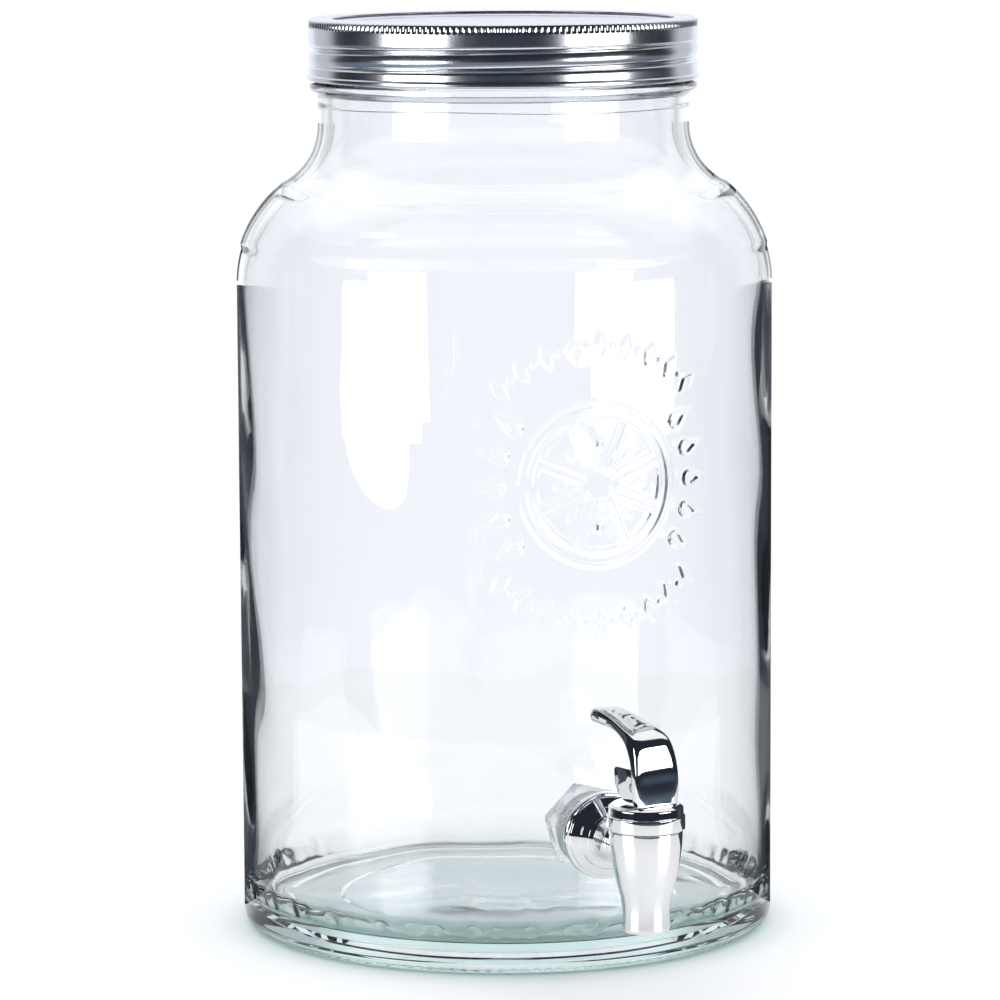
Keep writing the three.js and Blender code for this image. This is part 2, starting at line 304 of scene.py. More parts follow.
def combine(piece, other, operation):
    """Joins (UNION) or cuts (DIFFERENCE) a piece with another closed one, which is used up."""
    step = piece.modifiers.new("combine", "BOOLEAN")
    step.operation = operation
    step.solver = "MANIFOLD"
    step.object = other
    bake_modifiers(piece)
    bpy.data.objects.remove(other)
    return piece


def finish_piece(piece, body, node, material, sharp=35):
    """Shades a piece smoothly but for its sharp edges, and ties it to the frame."""
    mesh = piece.data
    mesh.polygons.foreach_set("use_smooth", [True] * len(mesh.polygons))
    mesh.set_sharp_from_angle(angle=math.radians(sharp))
    mesh.materials.clear()
    mesh.materials.append(material)
    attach(piece, body)
    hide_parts(node)
    return piece


# ---- Screw thread shared by the jar and the band ----


def bump(turns, half):
    """A rounded bump of height 1 at whole turns, half wide to each side."""
    offset = np.abs(turns - np.round(turns))
    return np.where(offset < half, np.cos(math.pi / 2 * np.minimum(offset / half, 1)) ** 2, 0)


def thread_turns(z, angle):
    return (z - THREAD_PHASE_Z) / PITCH - angle / (2 * math.pi)


def thread_fade(z, low, high):
    """1 between two heights, falling to 0 outside them."""
    return np.clip(np.minimum(z - low, high - z) / 1.5, 0, 1)


# ---- Jar ----


def edge(distance, width=0.45):
    """1 inside a shape (negative distance), 0 outside, with a soft edge."""
    t = np.clip(0.5 - distance / (2 * width), 0, 1)
    return t * t * (3 - 2 * t)


def citrus_relief(x, y):
    """Height, 0 to 1, of the moulded slice at x, y millimetres from its centre."""
    r = np.hypot(x, y)
    ring = edge(np.abs(r - 25.5) - 1.3)
    sector = math.pi / 4
    folded = np.abs((np.arctan2(y, x) + sector / 2) % sector - sector / 2)
    along, aside = r * np.cos(folded), r * np.sin(folded)
    to_side = aside * math.cos(sector / 2) - along * math.sin(sector / 2) + 1.3
    wedge = np.maximum(np.maximum(to_side, r - 21.5), 6 - along)
    pip = np.hypot(along - 13.5, aside * 2.2) - 2.2
    return np.maximum(ring, np.maximum(edge(np.abs(wedge) - 0.75), edge(pip)))


def lozenge(across, up):
    return edge((np.abs(across) / 2.1 + np.abs(up) / 4.4 - 1) * 1.9)


def bead(across, up):
    return edge(np.hypot(across, up) - 1.0)


def drop(across, up):
    round_end = np.sqrt(np.clip(2.8**2 - up**2, 0, None))
    point = 2.8 * np.clip(1 - up / 7.5, 0, 1) ** 1.2
    width = np.where(up < 0, round_end, point)
    outside = np.maximum(np.abs(across) - width, np.maximum(-2.8 - up, up - 7.5))
    return edge(np.abs(outside + 0.6) - 0.65)


def row_relief(x, y, radius, middle, spread, count, shapes):
    """Shapes in turn along an arc of that radius about the slice's centre."""
    angle = np.arctan2(y, x) - middle
    angle = (angle + math.pi) % (2 * math.pi) - math.pi
    step = spread / (count - 1)
    number = np.clip(np.round(angle / step + (count - 1) / 2), 0, count - 1)
    across = (angle - (number - (count - 1) / 2) * step) * radius
    up = np.hypot(x, y) - radius
    return np.where(number % 2 == 0, shapes[0](across, up), shapes[1](across, up))


def relief(angle, z):
    """Height of the moulded relief on the side where the tap is."""
    x = ((angle + math.pi / 2 + math.pi) % (2 * math.pi) - math.pi) * BODY_R
    y = z - RELIEF_Z
    shape = citrus_relief(x, y)
    for middle in (math.pi / 2, -math.pi / 2):
        shape = np.maximum(shape, row_relief(x, y, 45, middle, 1.62, 17, (lozenge, bead)))
    for middle in (0, math.pi):
        shape = np.maximum(shape, row_relief(x, y, 34, middle, 1.2, 5, (drop, drop)))
    return RELIEF_HEIGHT * np.where(np.hypot(x, y) < RELIEF_REACH, shape, 0)


def heel_marks(angle, z):
    """Small slanted marks moulded round the lower edge of the foot."""
    turn = angle / (2 * math.pi) * HEEL_MARKS + z * 0.22
    return 0.4 * bump(turn, 0.3) * np.exp(-(((z - 1.3) / 0.7) ** 2))


def parting_line(angle, z):
    """Fine ridge left round the neck by the mould."""
    height = 277.8 + 0.35 * np.sin(2 * angle) + 0.2 * np.sin(5 * angle)
    return 0.16 * np.exp(-(((z - height) / 0.28) ** 2))


def waviness(angle, z):
    """Slow unevenness of the pressed glass on its inside."""
    return (
        0.16 * np.sin(3 * angle + z / 31)
        + 0.10 * np.sin(7 * angle - z / 17 + 1.3)
        + 0.07 * np.sin(13 * angle + z / 11 + 0.4)
    )


def heel_ripple(angle):
    """Uneven glass where the inside meets the floor of the jar."""
    return (
        0.30 * np.sin(19 * angle + 0.5)
        + 0.26 * np.sin(31 * angle + 2.1)
        + 0.20 * np.sin(53 * angle + 4.0)
        + 0.14 * np.sin(83 * angle + 1.2)
    )


def shoulder_line(offset):
    """The jar's shoulder and neck arcs, from below, moved outwards by offset."""
    neck, shoulder = NECK_R + NECK_ARC_R, BODY_R - SHOULDER_R
    join = math.degrees(math.atan2(NECK_ARC_Z - SHOULDER_Z, neck - shoulder))
    line = arc(shoulder, SHOULDER_Z, SHOULDER_R + offset, 0, join, 24)
    return line + arc(neck, NECK_ARC_Z, NECK_ARC_R - offset, 180 + join, 180, 16)[1:]


def jar_outline():
    outer = [(0, 2.5)]
    outer += path(
        [
            (30, 2.5, 0),
            (PANEL_EDGE_R - 1, 2.5, 0.5),
            (PANEL_EDGE_R + 1, 1.2, 0.5),
            (74, 1.2, 1),
            (76.5, 0, 1),
            (84, 0, 0),
        ]
    )
    outer += arc(BODY_R - 5, 5, 5, -90, 0, 30)
    outer += rows_between((BODY_R, 6), (BODY_R, RELIEF_LOW_Z), 7)
    outer += rows_between((BODY_R, RELIEF_LOW_Z + 0.5), (BODY_R, SHOULDER_Z - 2), 0.5)
    outer += shoulder_line(0)
    outer += rows_between((NECK_R, 276), (NECK_R, 279.6), 0.2)
    outer += path(
        [
            (NECK_R, 280, 0),
            (NECK_R, 281.4, 0.8),
            (BEAD_R, 283, 0.6),
            (BEAD_R, 284.9, 0.6),
            (FINISH_R, 285.6, 0.4),
            (FINISH_R, THREAD_LOW_Z, 0),
        ]
    )
    outer += rows_between((FINISH_R, THREAD_LOW_Z + 0.4), (FINISH_R, THREAD_HIGH_Z), 0.4)
    outer += path(
        [
            (FINISH_R, 302.3, 0),
            (FINISH_R, RIM_Z, 1.2),
            (NECK_R - WALL, RIM_Z, 1),
            (NECK_R - WALL, 300, 0),
        ]
    )
    inner = shoulder_line(-WALL)[::-1]
    inner += rows_between((BODY_R - WALL, 212), (BODY_R - WALL, 22), 8)
    inner += arc(BODY_R - WALL - 9, 18, 9, 0, -90, 12)
    inner += [(70, 9.1), (60, 9.4), (45, 10), (30, 10.5), (15, 10.9), (0, 11)]
    return outer + inner


def jar_shape(r, z, angle):
    """Adds thread, relief, foot marks and the inside's unevenness to the turned jar."""
    if z[0] > THREAD_LOW_Z and abs(r[0] - FINISH_R) < 0.01:
        crest = THREAD_DEPTH * bump(thread_turns(z, angle) + 0.5, 0.22)
        r = r + crest * thread_fade(z, THREAD_LOW_Z, THREAD_HIGH_Z)
    elif abs(r[0] - BODY_R) < 0.01 and z[0] > RELIEF_LOW_Z:
        r = r + relief(angle, z)
    elif z[0] < 6 and r[0] > BODY_R - 5.01:
        r = r - heel_marks(angle, z)
    elif abs(r[0] - NECK_R) < 0.01 and 275 < z[0] < 280:
        r = r + parting_line(angle, z)
    elif 9.05 < z[0] < 17.5 and 76 < r[0] < BODY_R - 2:
        share = math.sin(math.pi * (z[0] - 9) / 9) ** 2
        r = r + 0.6 + waviness(angle, z) - share * (0.9 + heel_ripple(angle))
    elif 14 < z[0] < 270 and r[0] < BODY_R - 2 and abs(r[0] - BODY_R + WALL) < 12:
        r = r + 0.6 + waviness(angle, z)
    elif 8 < z[0] < 14 and r[0] < BODY_R - WALL:
        z = z + waviness(angle, z) * np.minimum(r / 60, 1) * 0.5
    return r, z


def jar_columns():
    """Angles round the jar, closer together where the relief is."""
    side = math.radians(38)
    front = np.arange(-side, side, 0.45 / BODY_R)
    back = np.linspace(side, 2 * math.pi - side, 400, endpoint=False)
    return np.concatenate([front, back]) - math.pi / 2


def make_jar():
    jar = revolved("jar", jar_outline(), shape=jar_shape, angles=jar_columns())
    hole = lay_along_y(revolved("hole", [(0, -110), (8, -110), (8, -60), (0, -60)], 64))
    return combine(jar, hole, "DIFFERENCE")


# ---- Lid ----


def band_shape(r, z, angle):
    """Rolls the thread into the band and presses the grip teeth into its shoulder."""
    turns = thread_turns(z, angle)
    groove = 1.0 * bump(turns, 0.19) + 0.5 * bump(turns, 0.5)
    tooth = 0.5 - 0.5 * np.cos(KNURL_TEETH * angle)
    grip = 0.42 * tooth * np.clip(1.2 - np.abs(z - KNURL_Z), 0, 0.5) / 0.5
    outside = r > BAND_R - 1.2
    rolled = (r > BAND_R - 1.5) & (z < KNURL_Z - 1.2)
    groove = groove * thread_fade(z, ROLLED_LOW_Z, ROLLED_HIGH_Z)
    return np.where(rolled, r - groove, r) - grip * outside, z


def make_band():
    inner, top = BAND_R - SHEET, BAND_HIGH.z
    low = BAND_LOW.z
    curl = path(
        [
            (inner, 288.6, 0),
            (inner, low, 0.28),
            (BAND_HIGH.x, low, 0.6),
            (BAND_HIGH.x, low + 1.5, 0.5),
            (BAND_R, low + 1.9, 0.3),
            (BAND_R, 288.6, 0),
        ]
    )
    wall = rows_between((BAND_R, 289), (BAND_R, KNURL_Z - 0.1), 0.3)
    lip = path(
        [
            (BAND_R, KNURL_Z, 0),
            (BAND_R, top, 1.7),
            (57.9, top, 0.35),
            (57.1, top - 0.5, 0.35),
            (57.9, top - 0.9, 0.2),
            (58.6, top - 0.7, 0.2),
            (inner, top - 0.7, 0.9),
            (inner, 304.2, 0),
        ]
    )
    inside = rows_between((inner, 303.6), (inner, 289), 0.8)
    outline = curl + wall + lip + inside
    return revolved("band", outline, KNURL_TEETH * 6, shape=band_shape)


def make_disc():
    low, top, radius = DISC_LOW.z, DISC_HIGH.z, DISC_HIGH.x
    outline = [
        (0, low),
        *path(
            [
                (40, low, 0),
                (radius, low, 0.3),
                (radius, top, 0.3),
                (54.2, top, 0.3),
                (53.2, top - 0.3, 0.3),
                (30, top - 0.3, 0),
            ]
        ),
        (0, top - 0.3),
    ]
    return revolved("disc", outline, 256)


def make_seal():
    low, high = SEAL_LOW.z, SEAL_HIGH.z
    return revolved(
        "seal",
        rounded([(58, low, 0.3), (61.4, low, 0.3), (61.4, high, 0.3), (58, high, 0.3)]),
        256,
    )


# ---- Tap ----


def make_tap_body():
    low, top = TAP_LOW.z, BONNET_LOW.z + 3.4
    barrel = [
        (0, low),
        *path(
            [
                (5.6, low, 0),
                (7.4, low, 0.7),
                (7.65, low + 1.2, 1.5),
                (7.5, low + 4, 6),
                (7.55, 30, 9),
                (8.2, 34.4, 0),
            ]
        ),
        *[tuple(p) for p in smooth_rows([(9.2, 37.8), (10.2, 42), (10.9, 46), (11.5, 50.5)], 5)],
        *path([(11.6, 52, 0), (11.75, top, 0.35), (9, top, 0)]),
        (0, top),
    ]
    body = revolved("tap", barrel, 128)
    shank = [
        (0, 4),
        *[tuple(p) for p in smooth_rows([(8.6, 4), (7.4, 11.5), (6.7, 14), (6.6, 21)], 5)],
        *[tuple(p) for p in smooth_rows([(6.8, 23.4), (7.2, 26), (7.6, 28.4)], 4)],
        *path(
            [
                (7.9, 28.6, 0),
                (8.0, 29.9, 0.25),
                (10.1, 31.2, 0.2),
                (10.3, 31.6, 0.15),
                (12.9, 33.3, 0.25),
                (13.2, 34.2, 0.3),
                (14.1, 34.3, 0.5),
                (14.3, 36.8, 0.3),
                (7.5, 36.8, 0),
                (7.5, 61.2, 0.6),
                (6.6, 62, 0),
            ]
        ),
        (0, 62),
    ]
    combine(body, lay_along_y(revolved("shank", shank, 128)), "UNION")
    chamber = [
        (0, low - 1),
        *path(
            [
                (6.6, low - 1, 0),
                (5.9, low + 0.6, 0.4),
                (5.8, 37.5, 0.5),
                (4.5, 38.5, 0.3),
                (4.5, 41, 0.2),
                (8.5, 41, 0.4),
                (8.5, top + 1, 0),
            ]
        ),
        (0, top + 1),
    ]
    combine(body, revolved("chamber", chamber, 96), "DIFFERENCE")
    bore = lay_along_y(revolved("bore", [(0, 1), (4.5, 1), (4.5, 63), (0, 63)], 64))
    combine(body, bore, "DIFFERENCE")
    return move(body, y=TAP_Y)


def make_washer(name, low, high, jar_r, jar_side):
    """A soft ring on the shank. Its jar_side ("low" or "high" in y) follows the wall."""
    outer = (WASHER_HIGH.x - WASHER_LOW.x) / 2
    ring = rounded([(8.2, low, 0.3), (outer, low, 0.6), (outer, high, 0.6), (8.2, high, 0.3)])
    washer = lay_along_y(revolved(name, ring, 128))
    flat = high if jar_side == "high" else low
    for vertex in washer.data.vertices:
        y = vertex.co.y / MM
        share = (y - low) / (high - low)
        share = share if jar_side == "high" else 1 - share
        wall_y = -math.sqrt(jar_r**2 - (vertex.co.x / MM) ** 2)
        vertex.co.y = (y + share * (wall_y - flat)) * MM
    return washer


def make_nut():
    low, high = NUT_LOW.y, NUT_HIGH.y
    corner_r = (NUT_HIGH.x - NUT_LOW.x) / 2 / math.cos(NUT_TURN)
    flat_r = corner_r * math.cos(math.pi / 6)

    def hexagon(r, z, angle):
        if r[0] < 10:
            return r, z
        face = np.abs((angle - NUT_TURN) % (math.pi / 3) - math.pi / 6)
        return np.minimum(flat_r / np.cos(face) * np.minimum(r / (corner_r - 1), 1), r), z

    outline = rounded(
        [
            (7.8, low + 1, 0.4),
            (9, low, 0.3),
            (corner_r - 2.4, low, 0.5),
            (corner_r, low + 1.5, 0.5),
            (corner_r, high - 1.5, 0.5),
            (corner_r - 2.4, high, 0.5),
            (9, high, 0.3),
            (7.8, high - 1, 0.4),
        ],
        3,
    )
    return lay_along_y(revolved("nut", outline, 360, shape=hexagon))


def make_bonnet():
    low, lip, top = BONNET_LOW.z, BONNET_LOW.z + 3.7, BONNET_TOP_Z
    outer = (BONNET_HIGH.x - BONNET_LOW.x) / 2
    outline = rounded(
        [
            (6.3, low, 0.2),
            (8.2, low, 0.3),
            (8.2, lip, 0),
            (outer, lip, 0.35),
            (outer, lip + 4.4, 0.35),
            (outer - 0.5, lip + 4.7, 0.15),
            (outer - 0.6, top - 0.9, 0.7),
            (outer - 1.9, top, 0.9),
            (3.2, top, 0.3),
            (3.2, 61, 0.2),
            (6.3, 61, 0.3),
        ]
    )
    return move(revolved("bonnet", outline, 128), y=TAP_Y)


def make_cup():
    low, high = CUP_LOW.z, CUP_HIGH.z
    outline = [
        (0, low),
        *path(
            [
                (4, low, 0),
                (6.0, low, 0.5),
                (6.3, 43, 0.5),
                (6.5, 47, 2),
                (6.9, 50.2, 0.5),
                (8.2, 50.8, 0.3),
                (8.2, high, 0.3),
                (5.9, high, 0.3),
                (5.6, 47, 2),
                (5, 44.4, 0.4),
                (3, 44.4, 0),
            ]
        ),
        (0, 44.4),
    ]
    return move(revolved("cup", outline, 96), y=TAP_Y)


def make_spring():
    """Coil with closed, flattened ends."""
    wire, coil_r, turns = 0.45, 4.6, 6
    low, high = SPRING_LOW.z + wire, SPRING_HIGH.z - wire
    sides = 2 * math.pi * np.arange(12) / 12
    rows = [[(coil_r, 0, low)]]
    steps = turns * 40
    for i in range(steps + 1):
        t = i / steps
        around = 2 * math.pi * turns * t
        rise = np.clip((t - 0.12) / 0.76, 0, 1)
        out = np.array((math.cos(around), math.sin(around), 0))
        centre = coil_r * out + (0, 0, low + (high - low) * rise)
        size = wire * (0.75 if i in (0, steps) else 1)
        rows.append(
            [centre + size * (math.cos(s) * out + np.array((0, 0, math.sin(s)))) for s in sides]
        )
    rows.append([centre])
    spring = sheet_mesh("spring", rows, False)
    fix_normals(spring)
    return move(spring, y=TAP_Y)


def lever_turn():
    """Heading of the lever's finger, from the tilt joint's axis."""
    axis = JOINTS["lever_tilt"]["axis"]
    return math.atan2(-axis[0], axis[1])


def bar(name, radius, half_length, z, rounding):
    """A round bar along y with rounded ends."""
    outline = [
        (0, -half_length),
        *path(
            [
                (radius * 0.4, -half_length, 0),
                (radius, -half_length, rounding),
                (radius, half_length, rounding),
                (radius * 0.4, half_length, 0),
            ]
        ),
        (0, half_length),
    ]
    piece = lay_along_y(revolved(name, outline, 48))
    return move(piece, z=z - SHANK_Z)


def make_stem():
    low = STEM_LOW.z
    rod = [
        (0, low),
        *path(
            [
                (3, low, 0),
                (4, low, 0.4),
                (4.2, low + 2.1, 0.3),
                (2.5, low + 2.1, 0.3),
                (2.5, PIN_Z, 0),
            ]
        ),
        (0, PIN_Z),
    ]
    stem = revolved("stem", rod, 64)
    combine(stem, bar("eye", 2.9, 2.5, PIN_Z, 0.4), "UNION")
    combine(stem, bar("eye_hole", 1.55, 6, PIN_Z, 0.1), "DIFFERENCE")
    return move(stem, y=TAP_Y, turn=lever_turn())


def make_pin():
    return move(bar("pin", 1.25, HEEL_HALF + 0.25, PIN_Z, 0.35), y=TAP_Y, turn=lever_turn())


# Shield and finger of the lever, from its foot to the fingertip: front x, z, back x, z,
# half-width and squareness of the section.
LEVER_SECTIONS = [
    (-6.7, 64.3, -2.9, 64.3, 7.8, 6.5),
    (-6.6, 67.5, -2.9, 67.5, 8.3, 6.5),
    (-6.4, 71.0, -2.9, 71.2, 8.6, 6.5),
    (-6.1, 76.0, -2.2, 75.8, 8.4, 6.0),
    (-5.2, 80.7, -0.4, 79.6, 8.0, 5.5),
    (-3.6, 84.6, 2.6, 82.9, 7.4, 5.0),
    (0.4, 87.2, 5.6, 84.6, 6.7, 4.4),
    (6.2, 89.2, 9.2, 85.9, 6.0, 4.0),
    (11.8, 91.0, 13.0, 86.5, 5.5, 3.6),
    (17.0, 92.3, 17.4, 86.6, 5.4, 3.2),
    (20.6, 92.4, 20.8, 86.8, 5.2, 2.8),
]


def lever_shield():
    sections = smooth_rows(LEVER_SECTIONS, 7)
    turn = np.linspace(0, 2 * math.pi, 96, endpoint=False)
    rows = []

    def add(section, scale_t, scale_w, shift):
        fx, fz, bx, bz, half, square = section
        front, back = np.array((fx, fz)), np.array((bx, bz))
        middle, across = (front + back) / 2 + shift, (front - back) / 2 * scale_t
        c, s = np.cos(turn), np.sin(turn)
        c = np.sign(c) * np.abs(c) ** (2 / square)
        s = np.sign(s) * np.abs(s) ** (2 / square)
        xz = middle + np.outer(c, across)
        rows.append(np.stack([xz[:, 0], s * half * scale_w, xz[:, 1]], axis=1))

    foot, tip = sections[0], sections[-1]
    base = np.array([[(foot[0] + foot[2]) / 2, 0, foot[1]]])
    add(foot, 0.5, 0.8, (0, 0))
    add(foot, 0.86, 0.94, (0, 0))
    add(foot, 0.95, 0.985, (0, 0.12))
    for section in sections:
        add(section, 1, 1, (0, 0.35 if section is foot else 0))
    for k in np.radians([12, 24, 36, 48, 58, 67, 75, 82]):
        shift = (3.6 * math.sin(k), -0.5 * math.sin(k))
        add(tip, math.cos(k) ** 0.8, math.cos(k) ** 0.7, shift)
    end = np.array([[(tip[0] + tip[2]) / 2 + 3.6, 0, (tip[1] + tip[3]) / 2 - 0.5]])
    shield = sheet_mesh("lever", [base, *rows, end], False)
    fix_normals(shield)
    return shield


def make_lever():
    base = BONNET_TOP_Z + 0.3
    rest = PIN_Z - base
    cam = []
    for tilt in np.radians(np.linspace(0, 75, 26)):
        reach = rest + CAM_RISE * tilt
        cam.append(
            (
                reach * math.sin(tilt) + CAM_RISE * math.cos(tilt),
                PIN_Z - reach * math.cos(tilt) + CAM_RISE * math.sin(tilt),
            )
        )
    heel = cam + [(9.7, 74), (9.2, 74.9), (8.3, 75.2), (-4, 75.2), (-4, base)]
    lever = lever_shield()
    combine(lever, extruded("heel", heel, HEEL_HALF, 0.7), "UNION")
    end = math.degrees(TILT_MAX)
    corner = 3.4 * math.cos(TILT_MAX)
    slot = [(-3.4, base - 1), *arc(0, PIN_Z, 3.4, 180, end, 24)]
    slot += [(corner + 7, PIN_Z + corner - 7), (corner + 7, base - 1)]
    combine(lever, extruded("slot", slot, SLOT_HALF), "DIFFERENCE")
    combine(lever, bar("pin_hole", 1.5, 12, PIN_Z, 0.1), "DIFFERENCE")
    return move(lever, y=TAP_Y, turn=lever_turn())


# ---- Materials ----


class Shader:
    """A small helper for building a node material."""

    def __init__(self, name):
        self.material = bpy.data.materials.new(name)
        self.material.use_nodes = True
        self.tree = self.material.node_tree
        self.surface = self.tree.nodes["Principled BSDF"]
        self.output = self.tree.nodes["Material Output"]

    def node(self, kind, **values):
        """Adds a node; values set its properties, or its inputs by name."""
        node = self.tree.nodes.new(kind)
        for key, value in values.items():
            if hasattr(node, key):
                setattr(node, key, value)
            else:
                self.feed(node.inputs[key.replace("_", " ")], value)
        return node

    def feed(self, socket, value):
        if isinstance(value, bpy.types.NodeSocket):
            self.tree.links.new(value, socket)
        else:
            socket.default_value = value

    def set(self, **values):
        for key, value in values.items():
            self.feed(self.surface.inputs[key.replace("_", " ")], value)

    def coords(self, scale=(1, 1, 1)):
        place = self.node("ShaderNodeTexCoord")
        mapping = self.node("ShaderNodeMapping", Scale=scale)
        self.tree.links.new(place.outputs["Object"], mapping.inputs["Vector"])
        return mapping.outputs["Vector"]

    def noise(self, scale, detail=2.0, stretch=(1, 1, 1), rough=0.5):
        node = self.node(
            "ShaderNodeTexNoise",
            Vector=self.coords(stretch),
            Scale=scale,
            Detail=detail,
            Roughness=rough,
        )
        return node.outputs["Fac"]

    def spread(self, value, low, high, from_low=0.3, from_high=0.7):
        """Maps a 0..1 texture to low..high."""
        node = self.node("ShaderNodeMapRange")
        self.feed(node.inputs["Value"], value)
        for name, number in (
            ("From Min", from_low),
            ("From Max", from_high),
            ("To Min", low),
            ("To Max", high),
        ):
            node.inputs[name].default_value = number
        return node.outputs["Result"]

    def tint(self, value, first, second):
        """Blends two colours by a 0..1 value."""
        node = self.node("ShaderNodeMix", data_type="RGBA")
        self.feed(node.inputs["Factor"], value)
        node.inputs[6].default_value = (*first, 1)
        node.inputs[7].default_value = (*second, 1)
        return node.outputs[2]

    def relief(self, value, distance, strength=1.0, under=None):
        node = self.node("ShaderNodeBump", Height=value, Distance=distance, Strength=strength)
        if under is not None:
            self.tree.links.new(under, node.inputs["Normal"])
        return node.outputs["Normal"]


def glass_material():
    look = Shader("jar_glass")
    waves = look.noise(30, 1, (1, 1, 0.45))
    look.set(
        Base_Color=look.tint(waves, (0.988, 0.988, 1.0), (0.993, 0.992, 1.0)),
        Transmission_Weight=1.0,
        IOR=1.5,
        Roughness=0.0,
        Normal=look.relief(waves, 0.0007, 0.5),
    )
    # Light that only brightens matt surfaces goes straight through. The walls pass it almost
    # whole; in the thick base it is made much darker and greener, a painted shade that darkens
    # the floor under the jar.
    height = look.node("ShaderNodeSeparateXYZ", Vector=look.coords()).outputs["Z"]
    in_wall = look.spread(height, 0, 1, 0.004, 0.014)
    # painted shade: the first colour, used low in the base, darkens and greens the light reaching
    # the floor beneath the jar
    shade = look.tint(in_wall, (0.38, 0.53, 0.50), (0.975, 0.98, 0.985))
    see_through = look.node("ShaderNodeBsdfTransparent", Color=shade)
    rays = look.node("ShaderNodeLightPath")
    mix = look.node("ShaderNodeMixShader")
    links = look.tree.links
    lighting = look.node("ShaderNodeMath", operation="MAXIMUM")
    links.new(rays.outputs["Is Shadow Ray"], lighting.inputs[0])
    links.new(rays.outputs["Is Diffuse Ray"], lighting.inputs[1])
    links.new(lighting.outputs["Value"], mix.inputs["Fac"])
    links.new(look.surface.outputs["BSDF"], mix.inputs[1])
    links.new(see_through.outputs["BSDF"], mix.inputs[2])
    links.new(mix.outputs["Shader"], look.output.inputs["Surface"])
    tint = look.node("ShaderNodeVolumeAbsorption", Color=(0.35, 0.64, 0.60, 1), Density=4.2)
    links.new(tint.outputs["Volume"], look.output.inputs["Volume"])
    return look.material


def tinplate_material():
    look = Shader("tinplate")
    grain = look.noise(240, 3, (1, 1, 14))
    look.set(
        Base_Color=look.tint(look.noise(35, 4), (0.79, 0.795, 0.82), (0.86, 0.865, 0.89)),
        Metallic=1.0,
        Roughness=look.spread(look.noise(60, 4), 0.17, 0.25),
        Specular_Tint=(0.88, 0.9, 0.96, 1),
        Normal=look.relief(look.noise(120, 2), 0.00003, 0.4, look.relief(grain, 0.00001, 0.3)),
    )
    return look.material


def chrome_material():
    look = Shader("chrome")
    look.set(
        Base_Color=look.tint(look.noise(90, 2), (0.86, 0.87, 0.88), (0.92, 0.925, 0.93)),
        Metallic=1.0,
        Roughness=look.spread(look.noise(240, 4), 0.02, 0.06),
        Normal=look.relief(look.noise(110, 1), 0.00006, 0.35),
    )
    return look.material


def steel_material():
    look = Shader("steel")
    look.set(
        Base_Color=look.tint(look.noise(400, 3), (0.55, 0.56, 0.57), (0.68, 0.69, 0.70)),
        Metallic=1.0,
        Roughness=look.spread(look.noise(700, 3, (1, 1, 6)), 0.2, 0.36),
        Normal=look.relief(look.noise(900, 2, (1, 1, 8)), 0.00001, 0.4),
    )
    return look.material


def silicone_material():
    look = Shader("silicone")
    look.set(
        Base_Color=look.tint(look.noise(160, 3), (0.90, 0.92, 0.92), (0.96, 0.97, 0.97)),
        Transmission_Weight=0.8,
        IOR=1.41,
        Roughness=look.spread(look.noise(220, 3), 0.22, 0.4),
        Subsurface_Weight=0.3,
        Subsurface_Radius=(0.004, 0.004, 0.004),
        Normal=look.relief(look.noise(600, 3), 0.00003, 0.4),
    )
    return look.material


def nut_material():
    look = Shader("nut_plastic")
    look.set(
        Base_Color=look.tint(look.noise(140, 4), (0.94, 0.95, 0.97), (0.97, 0.98, 0.99)),
        Transmission_Weight=0.8,
        IOR=1.12,
        Roughness=look.spread(look.noise(320, 4), 0.2, 0.35),
        Normal=look.relief(look.noise(700, 4), 0.00004, 0.5),
    )
    return look.material


# ---- Build ----

glass = glass_material()
tinplate = tinplate_material()
chrome = chrome_material()
steel = steel_material()
silicone = silicone_material()
nut_plastic = nut_material()

finish_piece(make_jar(), "jar", "glass_jar", glass, 50)
finish_piece(make_band(), "band", "screw_band", tinplate, 60)
finish_piece(make_disc(), "lid", "lid_disc", tinplate)
finish_piece(make_seal(), "lid", "lid_seal", silicone)
finish_piece(make_tap_body(), "jar", "tap_body", chrome)
finish_piece(make_bonnet(), "jar", "bonnet", chrome)
outer_ring = make_washer("outer_ring", WASHER_LOW.y, WASHER_LOW.y + 3.1, BODY_R + 0.1, "high")
finish_piece(outer_ring, "jar", "outer_washer", silicone)
inner_ring = make_washer("inner_ring", SOFT_HIGH.y - 3.3, SOFT_HIGH.y, BODY_R - WALL - 0.5, "low")
finish_piece(inner_ring, "jar", "inner_washer", silicone)
finish_piece(make_nut(), "jar", "lock_nut", nut_plastic, 30)
finish_piece(make_lever(), "lever", "lever", chrome)
finish_piece(make_stem(), "stem", "stem", steel)
finish_piece(make_pin(), "stem", "lever_pin", steel)
cup = finish_piece(make_cup(), "jar", "seat_cup", silicone)
spring = finish_piece(make_spring(), "swivel", "return_spring", steel)

for soft, low, high in ((cup, CUP_LOW.z, CUP_HIGH.z), (spring, SPRING_LOW.z, SPRING_HIGH.z)):
    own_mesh(soft)


# ---- Studio ----

CAMERA_HEADING = math.radians(-19.7)
CAMERA_DISTANCE = 1.59
CAMERA_HEIGHT = 0.3678
CAMERA_PITCH = math.radians(8.03)
CAMERA_ROLL = math.radians(-0.297)
CAMERA_LENS = 170.6  # on a sensor 36 mm wide
CAMERA_SHIFT = -0.0054
WINDOW_HEIGHTS = (0.05, 0.40)
WINDOW_WIDTH = 0.65
WINDOW_RADIANCE = 4.5


